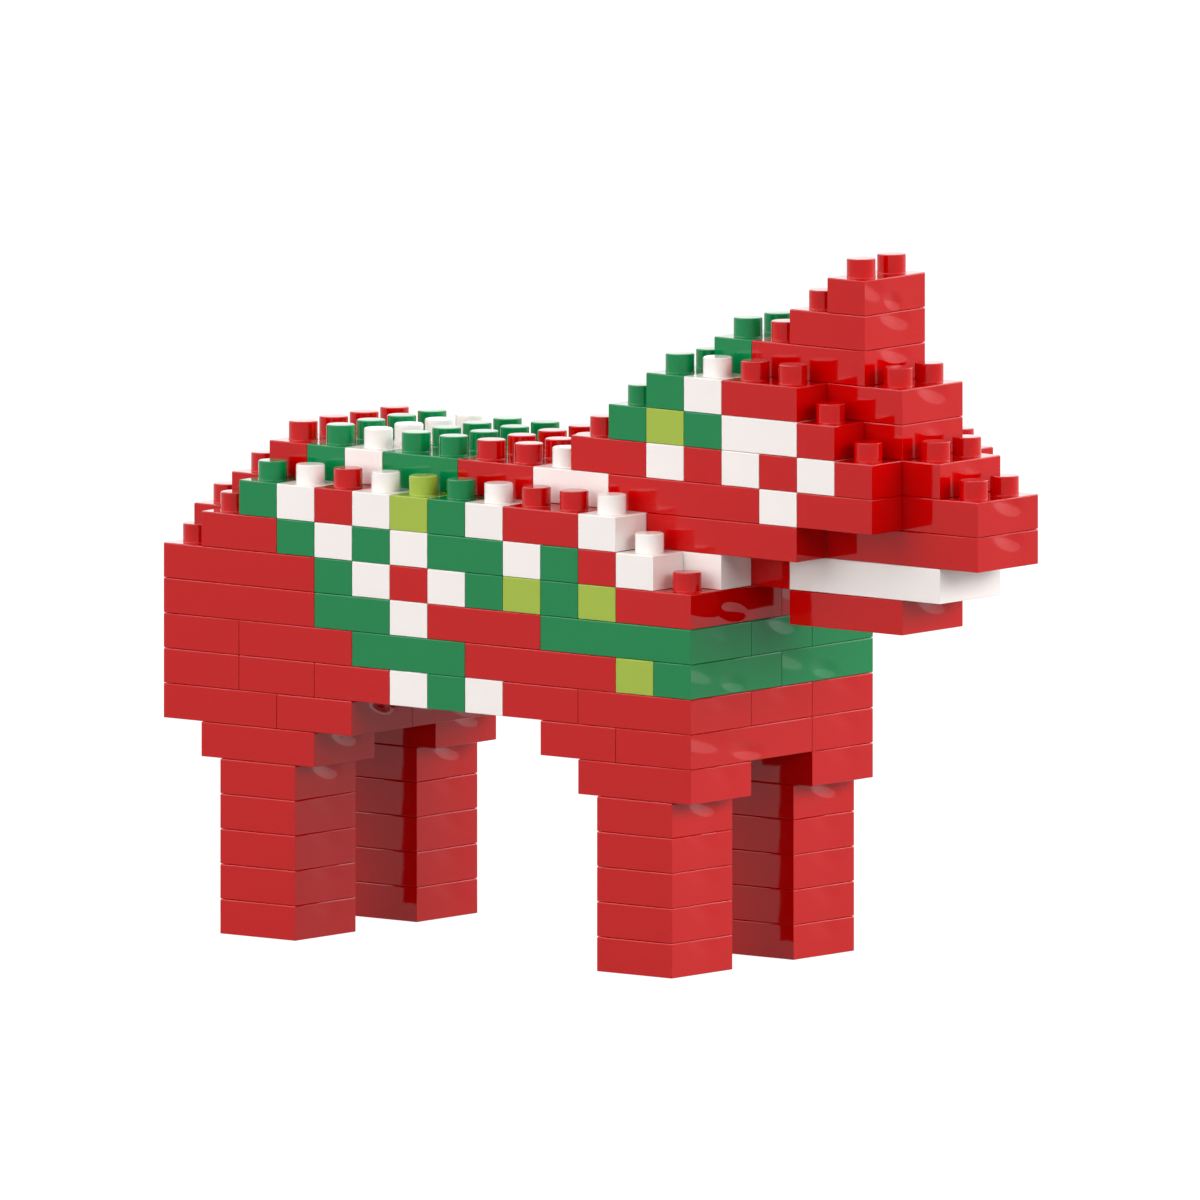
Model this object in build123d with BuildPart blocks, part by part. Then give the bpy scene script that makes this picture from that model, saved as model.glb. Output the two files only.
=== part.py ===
from build123d import *

import os
from collections import namedtuple

# A dala horse of small interlocking plastic bricks, laid course upon course.
#
# The origin is on the standing surface under the middle of the horse. +X points to the nose,
# +Y to the horse's left and +Z up. Places are counted on the stud grid: x in studs from the
# rump, y in studs from the right flank, and course in bricks from the ground.

# The brick, in millimetres
PITCH = 4.0             # spacing of the studs, along and across
COURSE_HEIGHT = 2.92    # from one course of bricks to the next
STUD_DIAMETER = 2.4
STUD_HEIGHT = 1.6
SIDE_PLAY = 0.04        # a brick is this much shorter and narrower than the squares it covers
SEAT_PLAY = 0.02        # between a brick and the one that sits on it
STUD_PLAY = 0.02        # between a stud and each wall of the channel that grips it
RIB_THICKNESS = 0.5     # each of the twin ribs under a brick two studs wide
STUD_FLATS = 10         # sides of a plain stud, few so that the many studs stay light

# The horse, in whole studs and bricks
FACING_STUDS = 2        # depth of the bricks that face the flanks, and of the legs
MIDDLE_STUDS = 2        # width of the row between them, and of the nose and the ears
NECK_STEP_STUDS = 1     # from a flank in to the side of the spine, neck and cheeks
LEG_STUDS = 2           # from the back of a leg to its front
THIGH_STUDS = 3         # length of the brick that spreads a leg's load under the body
LEG_BRICKS = 5          # from the ground to the thighs
BODY_STUDS = MIDDLE_STUDS + 2 * FACING_STUDS

(THIGH, HIP, BELLY, LOWER_FLANK, MIDDLE_FLANK, UPPER_FLANK, SHOULDER, BACK,
 SPINE, CHEEK, EYE, BROW, CROWN, EAR_BASE, EAR_TIP) = range(LEG_BRICKS, LEG_BRICKS + 15)

Brick = namedtuple("Brick", "course x y length width")
sub_parts = {}


def lay(name, course, *rows):
    """Set down one sub-part: loose bricks of one colour, side by side on one course."""
    sub_parts[name] = [Brick(course, *brick) for row in rows for brick in row]


def both_sides(x, length, depth=FACING_STUDS, inset=0):
    """A brick on the right side and its mirror image on the left."""
    return [(x, inset, length, depth), (x, BODY_STUDS - inset - depth, length, depth)]


def cheeks(x, length):
    """A narrow brick on each side of the nose."""
    return both_sides(x, length, FACING_STUDS - NECK_STEP_STUDS, NECK_STEP_STUDS)


def halves(x, length, inset=0):
    """Two bricks that meet near the middle line and reach out to the flanks, or to an inset."""
    right = BODY_STUDS // 2
    return [(x, inset, length, right - inset), (x, right, length, BODY_STUDS - inset - right)]


def middle(x, length):
    """The brick between those that face the two sides."""
    return [(x, FACING_STUDS, length, MIDDLE_STUDS)]


def across(x, length):
    """A brick over the full width of the spine or the neck."""
    return [(x, NECK_STEP_STUDS, length, BODY_STUDS - 2 * NECK_STEP_STUDS)]


# Legs: a column of square bricks under each corner of the body. The longer brick on top of it
# reaches half a stud further to the front and to the back
for end, thigh in (("hind", 1), ("fore", 11)):
    leg = thigh + (THIGH_STUDS - LEG_STUDS) / 2
    for side, y in (("right", 0), ("left", FACING_STUDS + MIDDLE_STUDS)):
        column = [Brick(course, leg, y, LEG_STUDS, FACING_STUDS) for course in range(LEG_BRICKS)]
        sub_parts[f"{end}_{side}_foot"] = column[:1]
        sub_parts[f"{end}_{side}_leg"] = column[1:]
        lay(f"{end}_{side}_thigh", THIGH, [(thigh, y, THIGH_STUDS, FACING_STUDS)])

# Hips and chest: two slabs that tie the right legs to the left ones. At the front edge of each,
# one brick reaches over the middle row, from the left at the hips and from the right at the chest
lay("hip_rear", HIP, both_sides(0, 3), middle(0, 3))
lay("hip_front", HIP, [(3, 0, 2, FACING_STUDS), (3, FACING_STUDS, 2, MIDDLE_STUDS + FACING_STUDS)])
lay("chest_rear", HIP, both_sides(10, 2), middle(10, 2))
lay("chest_front", HIP, [(12, 0, 2, FACING_STUDS + MIDDLE_STUDS),
                         (12, FACING_STUDS + MIDDLE_STUDS, 2, FACING_STUDS)])

# Barrel: the full width of the horse. Courses in three rows of bricks take turns with courses
# of halves, so the joints between the rows are bridged above and below
lay("belly_red", BELLY, both_sides(0, 2), both_sides(2, 2), both_sides(4, 2), both_sides(9, 2),
    both_sides(11, 3), middle(0, 3), middle(3, 4), middle(7, 4), middle(11, 3))
lay("belly_white", BELLY, both_sides(6, 1), both_sides(8, 1))
lay("belly_green", BELLY, both_sides(7, 1))

lay("lower_flank_red", LOWER_FLANK, halves(0, 2), both_sides(2, 3), both_sides(8, 4),
    middle(2, 3), middle(5, 3), middle(8, 4))
lay("lower_flank_green", LOWER_FLANK, both_sides(5, 3), halves(13, 1))
lay("lower_flank_lime", LOWER_FLANK, halves(12, 1))

lay("middle_flank_red", MIDDLE_FLANK, both_sides(0, 4), both_sides(7, 3),
    middle(0, 2), middle(2, 4), middle(6, 4))
lay("middle_flank_green", MIDDLE_FLANK, both_sides(4, 2), both_sides(10, 4), middle(10, 4))
lay("middle_flank_white", MIDDLE_FLANK, both_sides(6, 1))

lay("upper_flank_red", UPPER_FLANK, both_sides(0, 4), middle(0, 4), halves(6, 1), halves(12, 2))
lay("upper_flank_green", UPPER_FLANK, halves(4, 1), halves(8, 1), halves(10, 1))
lay("upper_flank_white", UPPER_FLANK, halves(5, 1), halves(7, 1))
lay("upper_flank_lime", UPPER_FLANK, halves(9, 1), halves(11, 1))

# Shoulders and back: the flanks step in towards the spine at both ends
lay("shoulder_red", SHOULDER, across(0, 2), both_sides(1, 2, NECK_STEP_STUDS), across(2, 1),
    middle(3, 4), middle(7, 4), both_sides(11, 1), middle(11, 4))
lay("shoulder_green", SHOULDER, both_sides(3, 1), both_sides(5, 1), both_sides(7, 2), both_sides(10, 1))
lay("shoulder_white", SHOULDER, both_sides(4, 1), both_sides(6, 1), both_sides(9, 1),
    both_sides(12, 1, NECK_STEP_STUDS), cheeks(12, 2))

lay("back_red", BACK, across(1, 1), both_sides(4, 1), both_sides(9, 2), cheeks(12, 4),
    middle(2, 2), middle(4, 4), middle(8, 4), middle(12, 4))
lay("back_green", BACK, both_sides(2, 1), both_sides(7, 1))
lay("back_white", BACK, both_sides(3, 1), both_sides(5, 1), both_sides(8, 1), both_sides(11, 1))
lay("back_lime", BACK, both_sides(6, 1))

# Head: the neck widens the spine's bricks upwards, and the nose runs out between the cheeks
lay("jaw", UPPER_FLANK, middle(15, 3))
lay("mouth", SHOULDER, middle(15, 4))
lay("upper_lip", BACK, middle(16, 4))

lay("spine_red", SPINE, across(2, 1), across(7, 2), halves(11, 4, NECK_STEP_STUDS),
    cheeks(16, 2), middle(16, 4))
lay("spine_green", SPINE, across(3, 1), across(5, 2))
lay("spine_white", SPINE, across(4, 1), across(9, 2), across(15, 1))
rider_seat = (6, BODY_STUDS / 2)   # the four studs round here take a rider or another brick

lay("cheek_red", CHEEK, across(10, 2), across(13, 1), across(15, 1),
    cheeks(17, 1), middle(17, 2))
lay("cheek_white", CHEEK, across(12, 1), across(14, 1), across(16, 1))

lay("eye_green", EYE, across(11, 1), across(13, 1))
lay("eye_lime", EYE, across(12, 1))
lay("eye_white", EYE, across(14, 2))
lay("eye_red", EYE, cheeks(16, 1), middle(16, 2))

lay("brow_green", BROW, across(12, 1))
lay("brow_white", BROW, across(13, 1))
lay("brow_red", BROW, across(14, 2), middle(16, 2))

lay("crown_green", CROWN, middle(13, 1))
lay("crown_red", CROWN, middle(14, 3))
lay("ear_base", EAR_BASE, middle(15, 2))
lay("ear_tip", EAR_TIP, middle(16, 1))

# How the bricks fit
BRICK_HEIGHT = COURSE_HEIGHT - SEAT_PLAY
HOLLOW_DEPTH = STUD_HEIGHT + STUD_PLAY
CHANNEL = STUD_DIAMETER + 2 * STUD_PLAY
WALL = (PITCH - CHANNEL) / 2
bricks = [brick for group in sub_parts.values() for brick in group]
rump_to_nose = max(brick.x + brick.length for brick in bricks)


def place(x, y, turn=0):
    """Where a point of the stud grid lies on a course's plane."""
    return Location(((x - rump_to_nose / 2) * PITCH, (y - BODY_STUDS / 2) * PITCH, 0), (0, 0, turn))


def squares(brick):
    """The middles of the grid squares that a brick covers, one stud on each."""
    return [(brick.x + i + 0.5, brick.y + j + 0.5)
            for i in range(brick.length) for j in range(brick.width)]


def covered(square, course, reach):
    """Whether a brick of that course lies over the square's middle and as far as reach around it."""
    x, y = square
    return any(brick.course == course
               and brick.x + reach <= x <= brick.x + brick.length - reach
               and brick.y + reach <= y <= brick.y + brick.width - reach
               for brick in bricks)


def open_below(brick):
    """Whether part of a brick's underside stands over nothing."""
    return not all(covered(square, brick.course - 1, 0.5) for square in squares(brick))


def drawn_studs(brick):
    """The studs that stay open, and those up the legs, where each brick sits on one other alone.

    The rest are sealed between courses that overlap each other, and are left out."""
    stud_reach = STUD_DIAMETER / PITCH / 2
    return [square for square in squares(brick)
            if brick.course < THIGH or not covered(square, brick.course + 1, -stud_reach)]


def takes_a_rider(square, course):
    """Whether a stud is one of the four round the rider's seat, which are truly round."""
    x, y = square
    return course == SPINE and abs(x - rider_seat[0]) < 1 and abs(y - rider_seat[1]) < 1


def mould(name, group):
    """Mould one sub-part's bricks as separate solids and write them to a file."""
    with BuildPart() as sub_part:
        for course in sorted({brick.course for brick in group}):
            seat = Plane.XY.offset(course * COURSE_HEIGHT)
            layer = [brick for brick in group if brick.course == course]
            # Outer box of each brick
            with BuildSketch(seat):
                for brick in layer:
                    with Locations(place(brick.x + brick.length / 2, brick.y + brick.width / 2)):
                        Rectangle(brick.length * PITCH - SIDE_PLAY, brick.width * PITCH - SIDE_PLAY)
            extrude(amount=BRICK_HEIGHT)
            # Hollow underside, parted by twin ribs that leave a channel for each row of studs
            with BuildSketch(seat):
                for brick in layer:
                    turn = 0 if brick.length >= brick.width else 90
                    long_side = max(brick.length, brick.width) * PITCH - 2 * WALL
                    short_side = min(brick.length, brick.width) * PITCH - 2 * WALL
                    centre = place(brick.x + brick.length / 2, brick.y + brick.width / 2, turn)
                    with Locations(centre):
                        Rectangle(long_side, short_side)
                    if min(brick.length, brick.width) == 2 and open_below(brick):
                        rib_spacing = PITCH - CHANNEL - RIB_THICKNESS
                        with Locations(centre):
                            with GridLocations(0, rib_spacing, 1, 2):
                                Rectangle(long_side, RIB_THICKNESS, mode=Mode.SUBTRACT)
            extrude(amount=HOLLOW_DEPTH, mode=Mode.SUBTRACT)
            # Studs
            studs = [square for brick in layer for square in drawn_studs(brick)]
            if studs:
                with BuildSketch(seat.offset(BRICK_HEIGHT)):
                    for square in studs:
                        with Locations(place(*square)):
                            if takes_a_rider(square, course):
                                Circle(STUD_DIAMETER / 2)
                            else:
                                RegularPolygon(STUD_DIAMETER / 2, STUD_FLATS)
                extrude(amount=STUD_HEIGHT)
    sub_part.part.label = name
    export_step(sub_part.part, f"parts/{name}.step")


os.makedirs("parts", exist_ok=True)
for name, group in sub_parts.items():
    mould(name, group)
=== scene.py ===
import math

import bpy
from mathutils import Matrix, Vector


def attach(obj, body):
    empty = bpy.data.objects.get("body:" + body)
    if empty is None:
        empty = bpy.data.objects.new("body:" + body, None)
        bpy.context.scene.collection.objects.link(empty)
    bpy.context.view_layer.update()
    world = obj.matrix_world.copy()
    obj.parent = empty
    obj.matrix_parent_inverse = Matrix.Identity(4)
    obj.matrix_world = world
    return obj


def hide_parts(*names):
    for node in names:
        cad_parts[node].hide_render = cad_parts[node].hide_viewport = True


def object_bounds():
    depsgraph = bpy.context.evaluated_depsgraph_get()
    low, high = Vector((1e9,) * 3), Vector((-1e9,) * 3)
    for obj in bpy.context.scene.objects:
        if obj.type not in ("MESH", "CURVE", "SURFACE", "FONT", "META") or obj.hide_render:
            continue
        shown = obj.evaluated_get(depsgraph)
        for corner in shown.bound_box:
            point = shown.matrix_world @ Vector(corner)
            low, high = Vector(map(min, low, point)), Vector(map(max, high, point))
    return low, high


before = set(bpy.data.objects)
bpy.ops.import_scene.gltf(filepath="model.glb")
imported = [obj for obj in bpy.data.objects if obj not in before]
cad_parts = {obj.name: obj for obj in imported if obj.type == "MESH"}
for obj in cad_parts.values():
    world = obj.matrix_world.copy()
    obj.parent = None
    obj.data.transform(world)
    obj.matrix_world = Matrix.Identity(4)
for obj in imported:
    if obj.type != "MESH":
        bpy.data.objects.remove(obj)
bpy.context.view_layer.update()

# ---- Feet ---------------------------------------------------------------------------------------
# Four square bricks stand on the table. A brick is a thin shell of injection moulded ABS, open
# below and with studs on top. Under one two studs wide, twin ribs leave a channel for each row of
# studs. The horse has seven sizes of brick, all made alike and held together by their studs alone.
MM = 0.001
PITCH = 4.0 * MM                  # spacing of the studs
COURSE = 2.92 * MM                # from one course of bricks to the next
SIDE_PLAY = 0.04 * MM             # a brick is this much shorter than the squares that it covers
BRICK_HEIGHT = 2.9 * MM
STUD_RADIUS = 1.2 * MM
STUD_HEIGHT = 1.6 * MM
HOLLOW_DEPTH = 1.62 * MM
WALL = 0.78 * MM                  # from the grid line to the inside of a wall
RIB_OUTER = 0.78 * MM             # far side of each twin rib, from the middle line
RIB_INNER = 0.28 * MM             # near side of it
TOP_EASE = 0.1 * MM               # how far the edges of the top are rounded
CORNER_EASE = 0.03 * MM           # and the upright corners
LIP_EASE = 0.04 * MM              # and the edges round the open underside
RIM_EASE = 0.09 * MM              # and the rim of a stud
FOOT_FLARE = 0.07 * MM            # a stud widens by this where it meets the brick
FOOT_SINK = 0.01 * MM             # its foot starts this far below the brick's top
STUD_ROOT = 0.3 * MM              # and its root reaches this much deeper, to fuse with the brick
STUD_SIDES = 20
NEAR = 0.001 * MM                 # places closer than this are the same place
STRAIGHT = 0.99                   # a normal with this much along an axis points that way
SMOOTH_BELOW = math.radians(60)   # edges flatter than this are shaded as one surface
moulds = {}                       # one brick of each size, made when the first one is laid


def only(piece):
    """Leave one object selected and active."""
    bpy.ops.object.select_all(action="DESELECT")
    piece.select_set(True)
    bpy.context.view_layer.objects.active = piece


def own_copy(piece):
    """A copy of an object with a mesh of its own."""
    copy = piece.copy()
    copy.data = piece.data.copy()
    bpy.context.collection.objects.link(copy)
    return copy


def join(pieces):
    """Join objects into the first of them."""
    only(pieces[0])
    for piece in pieces:
        piece.select_set(True)
    if len(pieces) > 1:
        bpy.ops.object.join()
    return pieces[0]


def pick_faces(piece, test):
    """In edit mode, select only the faces whose middle and normal pass the test."""
    bpy.ops.mesh.select_mode(type="FACE")
    bpy.ops.mesh.select_all(action="DESELECT")
    bpy.ops.object.mode_set(mode="OBJECT")
    for face in piece.data.polygons:
        face.select = test(face.center, face.normal)
    bpy.ops.object.mode_set(mode="EDIT")


def pick_edges(piece, test):
    """In edit mode, select only the edges whose two ends pass the test."""
    bpy.ops.mesh.select_mode(type="EDGE")
    bpy.ops.mesh.select_all(action="DESELECT")
    bpy.ops.object.mode_set(mode="OBJECT")
    corners = piece.data.vertices
    for edge in piece.data.edges:
        edge.select = test(*(corners[i].co for i in edge.vertices))
    bpy.ops.object.mode_set(mode="EDIT")


def apply_modifier(piece, kind, **settings):
    """Add a modifier, set it and apply it."""
    only(piece)
    modifier = piece.modifiers.new(kind.title(), kind)
    for name, value in settings.items():
        setattr(modifier, name, value)
    bpy.ops.object.modifier_apply(modifier=modifier.name)


def mould_stud():
    """One stud, from a flared foot sunk in the brick's top up to its eased rim."""
    foot = BRICK_HEIGHT - FOOT_SINK
    bpy.ops.object.select_all(action="DESELECT")
    bpy.ops.mesh.primitive_cylinder_add(vertices=STUD_SIDES, radius=STUD_RADIUS + FOOT_FLARE,
                                        depth=STUD_ROOT, location=(0, 0, foot - STUD_ROOT / 2))
    stud = bpy.context.object
    bpy.ops.object.transform_apply(location=True, rotation=True, scale=True)
    bpy.ops.object.mode_set(mode="EDIT")
    pick_faces(stud, lambda middle, normal: normal.z > STRAIGHT)
    top = BRICK_HEIGHT + STUD_HEIGHT
    radius, level = STUD_RADIUS + FOOT_FLARE, foot
    for next_radius, next_level in ((STUD_RADIUS, BRICK_HEIGHT + FOOT_FLARE),
                                    (STUD_RADIUS, top - RIM_EASE),
                                    (STUD_RADIUS - RIM_EASE, top)):
        rise = (0, 0, next_level - level)
        share = next_radius / radius
        bpy.ops.mesh.extrude_region_move(TRANSFORM_OT_translate={"value": rise})
        bpy.ops.transform.resize(value=(share, share, 1), center_override=(0, 0, next_level))
        radius, level = next_radius, next_level
    bpy.ops.object.mode_set(mode="OBJECT")
    return stud


def hollow_out(brick, width, half_length, half_width):
    """In edit mode, mark the pockets on the underside of a block and push them up into it."""
    cuts = [((side * (half_length - WALL), 0, 0), (1, 0, 0)) for side in (-1, 1)]
    across = [half_width - WALL] + ([RIB_INNER, RIB_OUTER] if width == 2 else [])
    cuts += [((0, side * edge, 0), (0, 1, 0)) for edge in across for side in (-1, 1)]
    for point, direction in cuts:
        pick_faces(brick, lambda middle, normal: normal.z < -STRAIGHT)
        bpy.ops.mesh.bisect(plane_co=point, plane_no=direction)

    def in_pocket(middle, normal):
        out = abs(middle.y)
        inside = abs(middle.x) < half_length - WALL and out < half_width - WALL
        on_rib = width == 2 and RIB_INNER < out < RIB_OUTER
        return normal.z < -STRAIGHT and inside and not on_rib

    pick_faces(brick, in_pocket)
    bpy.ops.mesh.extrude_region_move(TRANSFORM_OT_translate={"value": (0, 0, HOLLOW_DEPTH)})


def ease_edges(brick, half_length, half_width):
    """In edit mode, round the edges of the top and the corners, and break the lower edges."""
    def round_top(a, b):
        along_end = min(abs(a.x), abs(b.x)) > half_length - SIDE_PLAY and a.x * b.x > 0
        along_side = min(abs(a.y), abs(b.y)) > half_width - SIDE_PLAY and a.y * b.y > 0
        return min(a.z, b.z) > BRICK_HEIGHT - NEAR and (along_end or along_side)

    pick_edges(brick, round_top)
    bpy.ops.mesh.bevel(offset=TOP_EASE, segments=3, profile=0.5, affect="EDGES")

    past_rounding = 1.2 * TOP_EASE

    def at_corner(a, b):
        return all(abs((half_length - abs(end.x)) - (half_width - abs(end.y))) < NEAR
                   and half_length - abs(end.x) < past_rounding for end in (a, b))

    pick_edges(brick, at_corner)
    bpy.ops.mesh.bevel(offset=CORNER_EASE, segments=2, profile=0.5, affect="EDGES")
    pick_edges(brick, lambda a, b: max(a.z, b.z) < NEAR)
    bpy.ops.mesh.bevel(offset=LIP_EASE, segments=1, affect="EDGES")


def mould(length, width):
    """The brick of one size, in studs, standing on the origin. Moulded once and then copied."""
    if (length, width) in moulds:
        return moulds[length, width]
    half_length, half_width = length * PITCH / 2, width * PITCH / 2
    block = (2 * half_length - SIDE_PLAY, 2 * half_width - SIDE_PLAY, BRICK_HEIGHT)
    bpy.ops.object.select_all(action="DESELECT")
    bpy.ops.mesh.primitive_cube_add(size=1, location=(0, 0, BRICK_HEIGHT / 2), scale=block)
    brick = bpy.context.object
    bpy.ops.object.transform_apply(location=True, rotation=True, scale=True)
    bpy.ops.object.mode_set(mode="EDIT")
    hollow_out(brick, width, half_length, half_width)
    bpy.ops.object.mode_set(mode="OBJECT")
    # Fuse a stud on every square
    first = mould_stud()
    studs = []
    for i in range(length):
        for j in range(width):
            stud = own_copy(first)
            square = (PITCH * (i + 0.5) - half_length, PITCH * (j + 0.5) - half_width, 0)
            stud.data.transform(Matrix.Translation(square))
            studs.append(stud)
    bpy.data.objects.remove(first)
    studs = join(studs)
    apply_modifier(brick, "BOOLEAN", operation="UNION", solver="EXACT", object=studs)
    bpy.data.objects.remove(studs)
    only(brick)
    bpy.ops.object.mode_set(mode="EDIT")
    ease_edges(brick, half_length, half_width)
    bpy.ops.object.mode_set(mode="OBJECT")
    only(brick)
    bpy.ops.object.shade_smooth_by_angle(angle=SMOOTH_BELOW)
    apply_modifier(brick, "WEIGHTED_NORMAL", keep_sharp=True, weight=100)
    # Each point's place in the mould, in mm, as if the brick were 2 by 2 studs
    place = brick.data.attributes.new("mould_place", "FLOAT_VECTOR", "POINT")
    stretch = (2 / length / MM, 2 / width / MM, 1 / MM)
    for point, vertex in zip(place.data, brick.data.vertices):
        point.vector = [c * s for c, s in zip(vertex.co, stretch)]
    moulds[length, width] = brick
    return brick


def brick_boxes(name):
    """Lowest and highest corner of each brick of a CAD node, from a merged copy of its mesh."""
    copy = own_copy(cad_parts[name])
    only(copy)
    bpy.ops.object.mode_set(mode="EDIT")
    bpy.ops.mesh.select_all(action="SELECT")
    bpy.ops.mesh.remove_doubles(threshold=NEAR)
    bpy.ops.mesh.separate(type="LOOSE")
    bpy.ops.object.mode_set(mode="OBJECT")
    boxes = []
    for part in list(bpy.context.selected_objects):
        corners = [vertex.co for vertex in part.data.vertices]
        boxes.append([[limit(corner[i] for corner in corners) for i in range(3)]
                      for limit in (min, max)])
        bpy.data.objects.remove(part)
    return sorted(boxes)


def mark_sinks(brick, turned, depth):
    """Note on the faces towards the nose how deep they shrank: the ends as x, the sides as y."""
    marks = brick.data.attributes.new("sink_depth", "FLOAT_VECTOR", "CORNER")
    for face in brick.data.polygons:
        on_end = depth if not turned and face.normal.x > STRAIGHT else 0
        on_side = depth if turned and face.normal.y < -STRAIGHT else 0
        for corner in face.loop_indices:
            marks.data[corner].vector = (on_end, on_side, 0)


SHALLOW, DEEP = 0.4, 1.0          # how deep the faces shrank in, as a share of the deepest


def lay_bricks(name, material, sinks=SHALLOW):
    """Put a moulded brick in the place of each brick of a CAD node and join them in one piece.

    sinks is SHALLOW or DEEP, or a test of a brick's lowest corner for whether it is deep."""
    bricks = []
    for low, high in brick_boxes(name):
        along, across = (round((high[i] - low[i] + SIDE_PLAY) / PITCH) for i in (0, 1))
        turned = across > along
        brick = own_copy(mould(max(along, across), min(along, across)))
        depth = sinks if isinstance(sinks, float) else DEEP if sinks(Vector(low)) else SHALLOW
        mark_sinks(brick, turned, depth)
        middle = ((low[0] + high[0]) / 2, (low[1] + high[1]) / 2, low[2])
        turn = Matrix.Rotation(math.radians(90), 4, "Z") if turned else Matrix()
        brick.data.transform(Matrix.Translation(middle) @ turn)
        bricks.append(brick)
    piece = join(bricks)
    piece.name = "bricks_" + name
    piece.data.name = piece.name
    piece.data.materials.clear()
    piece.data.materials.append(material)
    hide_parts(name)
    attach(piece, "root")


def linear(hex_colour):
    """An sRGB hex colour as linear red, green and blue."""
    shares = [int(hex_colour[i:i + 2], 16) / 255 for i in (1, 3, 5)]
    return [c / 12.92 if c <= 0.04045 else ((c + 0.055) / 1.055) ** 2.4 for c in shares]


def add_node(tree, kind, inputs, **settings):
    """Add a node with its settings. Each input is given a value, or linked to another's output."""
    made = tree.nodes.new(kind)
    for name, value in settings.items():
        setattr(made, name, value)
    for socket, value in inputs.items():
        if isinstance(value, bpy.types.NodeSocket):
            tree.links.new(value, made.inputs[socket])
        else:
            made.inputs[socket].default_value = value
    return made


# Sink marks, in mm in the mould: middle, radii, tilt, depth, and X on an end or Y on a long side
SINKS = (((4, -0.11, 2.62), (4, 2.73, 1.25), (-0.337, 0, 0), 0.185, "X"),
         ((-3.88, -4, 2.79), (3.43, 4, 1.41), (0, 0.5, 0), 0.16, "Y"),
         ((-0.31, -4, 0.96), (1.55, 4, 0.9), (0, 0.38, 0), 0.149, "Y"))
WAVES = 0.08             # height of the slow waves that shrinkage leaves everywhere, in mm
WAVES_PER_MM = 0.225
CLOUD = 9 * MM           # size of the patches in which the pigment is a little denser
CLOUD_CHANGE = 0.012     # and by how much
GRAIN = 0.8 * MM         # the polish varies over about 0.1 mm, drawn coarser so that it shows
POLISH = (0.05, 0.07)    # roughness where the mould's polish is best and worst
NOISE_RANGE = (0.25, 0.75)   # a noise seldom leaves these
GLOSS_IOR = 1.38         # clear ABS has 1.54, but these bricks mirror less than that would give


def glossy_abs(name, hex_colour):
    """ABS from a polished mould: an even colour under a clear gloss that mirrors the room, with
    soft dents where a thick part behind the face shrank, so that reflections bend there."""
    material = bpy.data.materials.new(name)
    material.use_nodes = True
    tree = material.node_tree
    shader = tree.nodes["Principled BSDF"]
    shader.inputs["IOR"].default_value = GLOSS_IOR
    # Pigment and polish
    place = add_node(tree, "ShaderNodeTexCoord", {}).outputs["Object"]
    cloud = add_node(tree, "ShaderNodeTexNoise", {"Vector": place, "Scale": 1 / CLOUD, "Detail": 1})
    rarest, densest = NOISE_RANGE
    change = add_node(tree, "ShaderNodeMapRange", {0: cloud.outputs["Fac"], "From Min": rarest,
                      "From Max": densest, "To Min": 1 - CLOUD_CHANGE, "To Max": 1 + CLOUD_CHANGE})
    tint = add_node(tree, "ShaderNodeVectorMath", {0: linear(hex_colour),
                    "Scale": change.outputs[0]}, operation="SCALE")
    tree.links.new(tint.outputs[0], shader.inputs["Base Color"])
    grain = add_node(tree, "ShaderNodeTexNoise", {"Vector": place, "Scale": 1 / GRAIN, "Detail": 1})
    polish = add_node(tree, "ShaderNodeMapRange", {0: grain.outputs["Fac"], "From Min": rarest,
                      "From Max": densest, "To Min": POLISH[0], "To Max": POLISH[1]})
    tree.links.new(polish.outputs[0], shader.inputs["Roughness"])
    # Sink marks and waves
    in_mould, sinks = (add_node(tree, "ShaderNodeAttribute", {}, attribute_name=name).outputs["Vector"]
                       for name in ("mould_place", "sink_depth"))
    shares = add_node(tree, "ShaderNodeSeparateXYZ", {0: sinks}).outputs
    waves = add_node(tree, "ShaderNodeTexNoise", {"Vector": in_mould, "Scale": WAVES_PER_MM,
                     "Detail": 0})
    height = add_node(tree, "ShaderNodeMath", {0: waves.outputs["Fac"], 1: WAVES},
                      operation="MULTIPLY").outputs[0]
    for middle, radii, tilt, depth, share in SINKS:
        spot = add_node(tree, "ShaderNodeMapping", {"Vector": in_mould, "Location": middle,
                        "Rotation": tilt, "Scale": radii}, vector_type="TEXTURE")
        ball = add_node(tree, "ShaderNodeTexGradient", {0: spot.outputs[0]},
                        gradient_type="SPHERICAL")
        dent = add_node(tree, "ShaderNodeMapRange", {0: ball.outputs["Fac"], "To Min": 0.0,
                        "To Max": -depth}, interpolation_type="SMOOTHSTEP")
        scaled = add_node(tree, "ShaderNodeMath", {0: dent.outputs[0], 1: shares[share]},
                          operation="MULTIPLY")
        height = add_node(tree, "ShaderNodeMath", {0: height, 1: scaled.outputs[0]},
                          operation="ADD").outputs[0]
    bump = add_node(tree, "ShaderNodeBump", {"Strength": 1.0, "Distance": MM, "Height": height})
    tree.links.new(bump.outputs[0], shader.inputs["Normal"])
    return material


red_abs = glossy_abs("red_moulded_abs", "#BD0000")
four_legs = [(end, side) for end in ("fore", "hind") for side in ("left", "right")]
for end, side in four_legs:
    lay_bricks(f"{end}_{side}_foot", red_abs)

# ---- Legs ---------------------------------------------------------------------------------------
# On each foot stand four more square bricks of red ABS, one pressed on the studs of the next. The
# top one carries the body, and its faces shrank in more deeply than those of the rest.
FIFTH_COURSE = 4 * COURSE
for end, side in four_legs:
    lay_bricks(f"{end}_{side}_leg", red_abs, lambda low: low.z > FIFTH_COURSE - NEAR)

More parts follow.
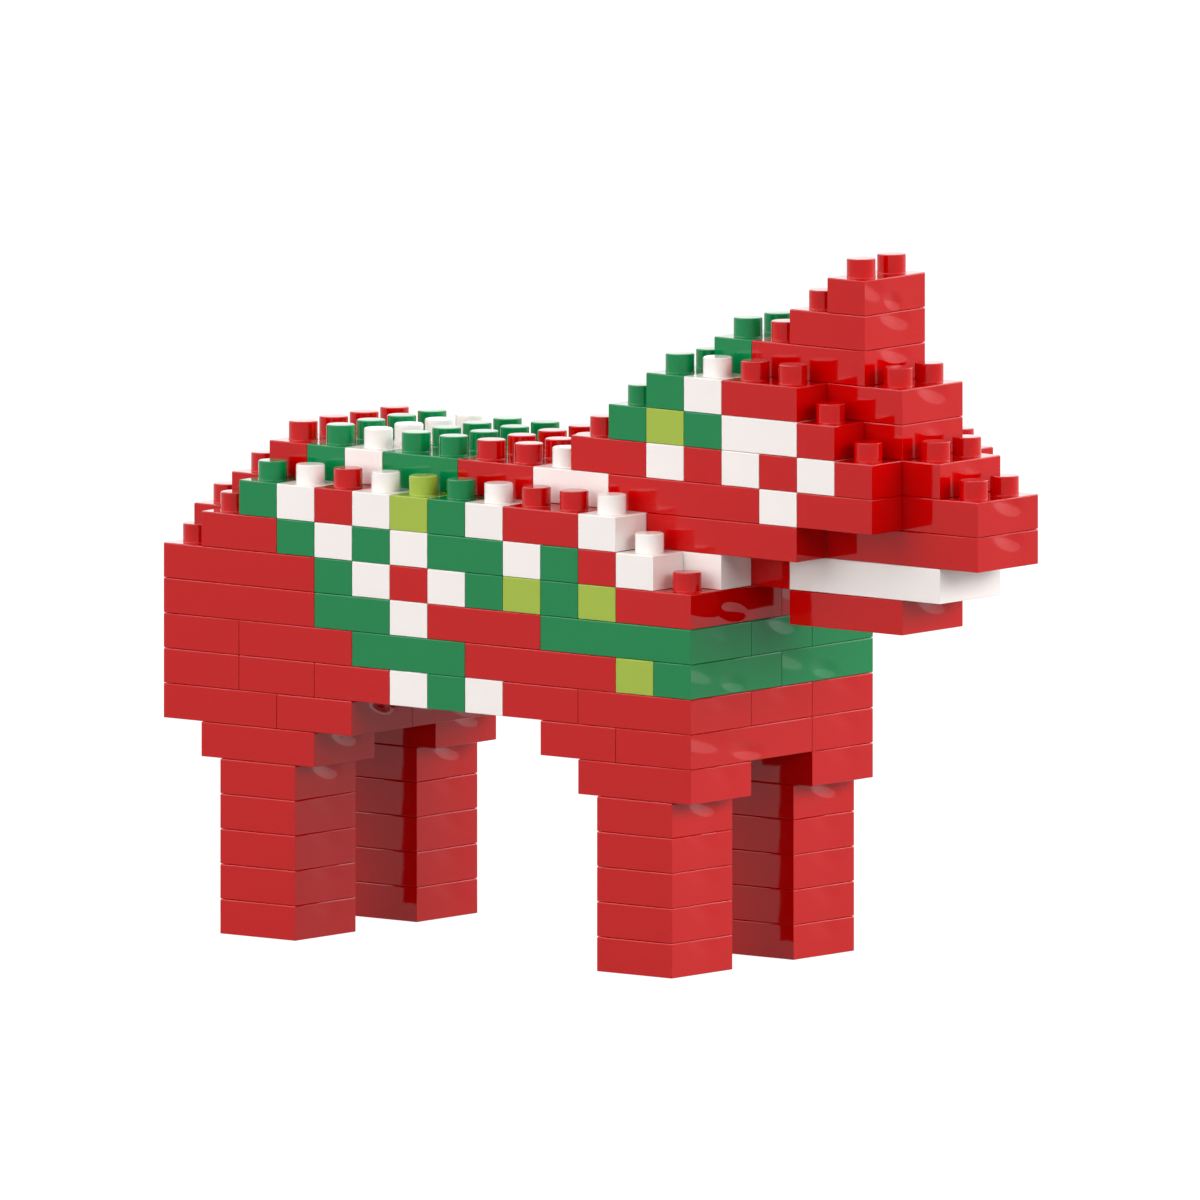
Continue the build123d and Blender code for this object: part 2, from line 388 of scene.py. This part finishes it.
# ---- Thighs -------------------------------------------------------------------------------------
# A red ABS brick three studs long is pressed on each leg. It reaches half a stud past the leg to
# the front and the back, so the leg's studs sit in its rib channels half way between its own.
for side in ("left", "right"):
    lay_bricks(f"fore_{side}_thigh", red_abs)
    lay_bricks(f"hind_{side}_thigh", red_abs, DEEP)

# ---- Hips and chest -----------------------------------------------------------------------------
# Two flat slabs of red ABS bricks tie the right legs to the left ones. At the front of each, a
# long brick laid across the horse reaches over the gap between the legs. Its face shrank in deeply.
lay_bricks("hip_rear", red_abs)
lay_bricks("hip_front", red_abs, DEEP)
lay_bricks("chest_rear", red_abs)
lay_bricks("chest_front", red_abs, lambda low: low.y < 0)

# ---- Belly --------------------------------------------------------------------------------------
# The first course over the full width of the horse, mostly red, in three rows of ABS bricks. On
# each flank a green brick stands between two white ones: the saddle's girth.
green_abs = glossy_abs("green_moulded_abs", "#007D43")
white_abs = glossy_abs("white_moulded_abs", "#F0E9E5")
lay_bricks("belly_red", red_abs)
lay_bricks("belly_green", green_abs)
lay_bricks("belly_white", white_abs)

# ---- Lower flank --------------------------------------------------------------------------------
# The breast strap begins here, in green and lime ABS bricks that run from the flanks to the
# middle. The rest is red, and its joints are bridged by the bricks above and below.
lime_abs = glossy_abs("lime_moulded_abs", "#9DB33E")
lay_bricks("lower_flank_red", red_abs)
lay_bricks("lower_flank_green", green_abs, DEEP)
lay_bricks("lower_flank_lime", lime_abs)

# ---- Middle flank -------------------------------------------------------------------------------
# Long green ABS bricks carry the breast strap round the chest. The face of the one in the middle
# row shrank in more deeply.
lay_bricks("middle_flank_red", red_abs)
lay_bricks("middle_flank_green", green_abs, lambda low: abs(low.y + PITCH) < SIDE_PLAY)
lay_bricks("middle_flank_white", white_abs)

# ---- Upper flank --------------------------------------------------------------------------------
# The widest part of the saddle cloth: single columns of green, white and lime, each made of two
# narrow bricks that reach from a flank to the middle line.
finishes = {"red": red_abs, "green": green_abs, "white": white_abs, "lime": lime_abs}
for colour, finish in finishes.items():
    lay_bricks(f"upper_flank_{colour}", finish, DEEP if colour == "red" else SHALLOW)

# ---- Shoulders ----------------------------------------------------------------------------------
# The first course that steps in, at the rump and under the neck, so its studs show there. Red,
# green and white ABS bricks, pressed on the flanks.
for colour in ("red", "green", "white"):
    lay_bricks(f"shoulder_{colour}", finishes[colour])

# ---- Back ---------------------------------------------------------------------------------------
# The flanks end with this course. One row of its studs stays open on each side, in all of the
# four colours, below the spine.
for colour, finish in finishes.items():
    lay_bricks(f"back_{colour}", finish)

# ---- Spine --------------------------------------------------------------------------------------
# Bricks laid across the horse, one stud in from each flank, whose open studs form the saddle.
# The same course runs on through the neck to the top of the snout.
lay_bricks("spine_red", red_abs, DEEP)
lay_bricks("spine_green", green_abs)
lay_bricks("spine_white", white_abs)

# ---- Jaw, mouth and upper lip -------------------------------------------------------------------
# Three ABS bricks two studs wide, one upon another, each reaching further out over the chest. The
# middle one is white and is the horse's mouth.
lay_bricks("jaw", red_abs, DEEP)
lay_bricks("mouth", white_abs)
lay_bricks("upper_lip", red_abs, DEEP)

# ---- Cheeks and eyes ----------------------------------------------------------------------------
# The widest courses of the head, four studs across. White studs on the sides draw the bridle,
# and a long white brick over it marks the eye, with the green and lime mane behind.
for colour in ("red", "white"):
    lay_bricks(f"cheek_{colour}", finishes[colour])
for colour, finish in finishes.items():
    lay_bricks(f"eye_{colour}", finish)

# ---- Brow and crown -----------------------------------------------------------------------------
# The head narrows from four studs to two in these two courses, and their outer studs stay open.
# The green of the mane runs up to the crown.
lay_bricks("brow_red", red_abs, DEEP)
lay_bricks("brow_green", green_abs)
lay_bricks("brow_white", white_abs)
lay_bricks("crown_red", red_abs, DEEP)
lay_bricks("crown_green", green_abs)

# ---- Ears ---------------------------------------------------------------------------------------
# A square red ABS brick and a narrow one pressed on its front half make both ears. With these the
# horse is whole, and the moulds are put away.
lay_bricks("ear_base", red_abs, DEEP)
lay_bricks("ear_tip", red_abs, DEEP)
for master in moulds.values():
    bpy.data.objects.remove(master)

# ---- Floor --------------------------------------------------------------------------------------
# A wide sweep of matt paper that reaches past the picture on all sides. It looks white and the
# gloss of the bricks mirrors it as pale, but it throws little light back up at the horse.
PAPER = "#595959"
GLOW = 0.13              # the light that the paper gives of itself, up at the horse
SEEN_GLOW = 0.86         # what it gives to the camera on top of that
MIRRORED_GLOW = 0.72     # and what to the gloss of the bricks
PAPER_WIDTH = 8.0
PAPER_BELOW = 0.02 * MM  # how far it lies under the feet, so that the two never share a plane
low_corner, high_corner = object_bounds()
bpy.ops.object.select_all(action="DESELECT")
bpy.ops.mesh.primitive_plane_add(size=PAPER_WIDTH, location=(0, 0, low_corner.z - PAPER_BELOW))
floor = bpy.context.object
floor.name = "studio_floor"
bpy.ops.object.transform_apply(location=True, rotation=True, scale=True)
paper = bpy.data.materials.new("white_matt_paper")
paper.use_nodes = True
tree = paper.node_tree
tree.nodes.clear()
ray = add_node(tree, "ShaderNodeLightPath", {}).outputs
seen = add_node(tree, "ShaderNodeMath", {0: ray["Is Camera Ray"], 1: ray["Is Transmission Ray"]},
                operation="MAXIMUM")
glow = add_node(tree, "ShaderNodeMath", {0: seen.outputs[0], 1: SEEN_GLOW, 2: GLOW},
                operation="MULTIPLY_ADD")
glow = add_node(tree, "ShaderNodeMath", {0: ray["Is Glossy Ray"], 1: MIRRORED_GLOW,
                2: glow.outputs[0]}, operation="MULTIPLY_ADD")
matt = add_node(tree, "ShaderNodeBsdfDiffuse", {"Color": linear(PAPER) + [1]})
white = add_node(tree, "ShaderNodeEmission", {"Color": (1, 1, 1, 1), "Strength": glow.outputs[0]})
both = add_node(tree, "ShaderNodeAddShader", {0: matt.outputs[0], 1: white.outputs[0]})
add_node(tree, "ShaderNodeOutputMaterial", {"Surface": both.outputs[0]})
floor.data.materials.append(paper)

# ---- Light --------------------------------------------------------------------------------------
# Large soft panels all round, so that no shadow has an edge: one high and one low in front, two at
# the nose's side and one behind, at a plain level at which each colour looks as it is. The one
# behind, and three more that light nothing, are mirrored in the eased edges of bricks and studs.
middle = (low_corner + high_corner) / 2
# The room is white to the eye and in the gloss, but only the panels light the horse
room = bpy.data.worlds.new("white_room")
bpy.context.scene.world = room
room.use_nodes = True
tree = room.node_tree
ray = add_node(tree, "ShaderNodeLightPath", {}).outputs
seen = add_node(tree, "ShaderNodeMath", {0: ray["Is Camera Ray"], 1: ray["Is Glossy Ray"]},
                operation="MAXIMUM")
seen = add_node(tree, "ShaderNodeMath", {0: seen.outputs[0], 1: ray["Is Transmission Ray"]},
                operation="MAXIMUM")
white = tree.nodes["Background"]
white.inputs["Color"].default_value = (1, 1, 1, 1)
tree.links.new(seen.outputs[0], white.inputs["Strength"])


def light_panel(name, azimuth, out, up, size, brightness, level=False):
    """A panel out metres from the horse and up metres from the floor, which isn't mirrored.
    Azimuth 0 is the nose's side and 90 the horse's left. It is turned to the horse, or stands
    upright if level."""
    width, height = size
    data = bpy.data.lights.new(name, "AREA")
    data.shape = "RECTANGLE"
    data.size, data.size_y = width, height
    data.energy = brightness * math.pi * width * height
    panel = bpy.data.objects.new(name, data)
    bpy.context.collection.objects.link(panel)
    azimuth = math.radians(azimuth)
    panel.location = (out * math.cos(azimuth), out * math.sin(azimuth), up)
    target = Vector((0, 0, up)) if level else middle
    panel.rotation_mode = "QUATERNION"
    panel.rotation_quaternion = (target - panel.location).to_track_quat("-Z", "Y")
    panel.visible_camera = False
    panel.visible_glossy = False
    return panel


light_panel("high_front_panel", -118, out=0.57, up=0.6, size=(0.9, 0.9), brightness=2.85)
light_panel("low_front_panel", -90, out=1, up=0.15, size=(2.4, 0.3), brightness=2.6, level=True)
light_panel("nose_side_panel", 15, out=1, up=0.55, size=(2, 0.5), brightness=4.9, level=True)
light_panel("low_nose_side_panel", 45, out=1, up=0.15, size=(1.6, 0.3), brightness=3.5, level=True)
behind = light_panel("back_panel", 90, out=1, up=0.65, size=(4, 1.3), brightness=0.75, level=True)
behind.visible_glossy = True
sheens = (light_panel("overhead_sheen", 0, out=0, up=0.9, size=(1.2, 1.2), brightness=1.2),
          light_panel("front_sheen", -135, out=0.6, up=0.6, size=(1.3, 1.3), brightness=2),
          light_panel("nose_side_sheen", 50, out=0.8, up=0.57, size=(1.3, 0.55), brightness=2))
for sheen in sheens:
    sheen.visible_glossy = True
    sheen.visible_diffuse = False

# ---- Camera -------------------------------------------------------------------------------------
# A long lens from a little above the table, in front of the nose on the horse's right. From so far
# away the courses stay parallel, so it is set up without perspective.
AZIMUTH, ELEVATION = math.radians(38.93), math.radians(7.13)
VIEW_WIDTH = 99.12 * MM
VIEW_SHIFT = (-2.59 * MM, -0.72 * MM)   # of the picture's middle from the horse's, right and up
STAND_OFF = 0.5
back = Vector((math.sin(AZIMUTH) * math.cos(ELEVATION), -math.cos(AZIMUTH) * math.cos(ELEVATION),
               math.sin(ELEVATION)))
lens = bpy.data.cameras.new("camera")
lens.type = "ORTHO"
lens.ortho_scale = VIEW_WIDTH
lens.clip_start, lens.clip_end = 0.01, 10
camera = bpy.data.objects.new("camera", lens)
bpy.context.collection.objects.link(camera)
camera.rotation_mode = "QUATERNION"
camera.rotation_quaternion = (-back).to_track_quat("-Z", "Y")
right = camera.rotation_quaternion @ Vector((1, 0, 0))
up = camera.rotation_quaternion @ Vector((0, 1, 0))
camera.location = middle + STAND_OFF * back + VIEW_SHIFT[0] * right + VIEW_SHIFT[1] * up
bpy.context.scene.camera = camera
bpy.context.scene.view_settings.view_transform = "Standard"
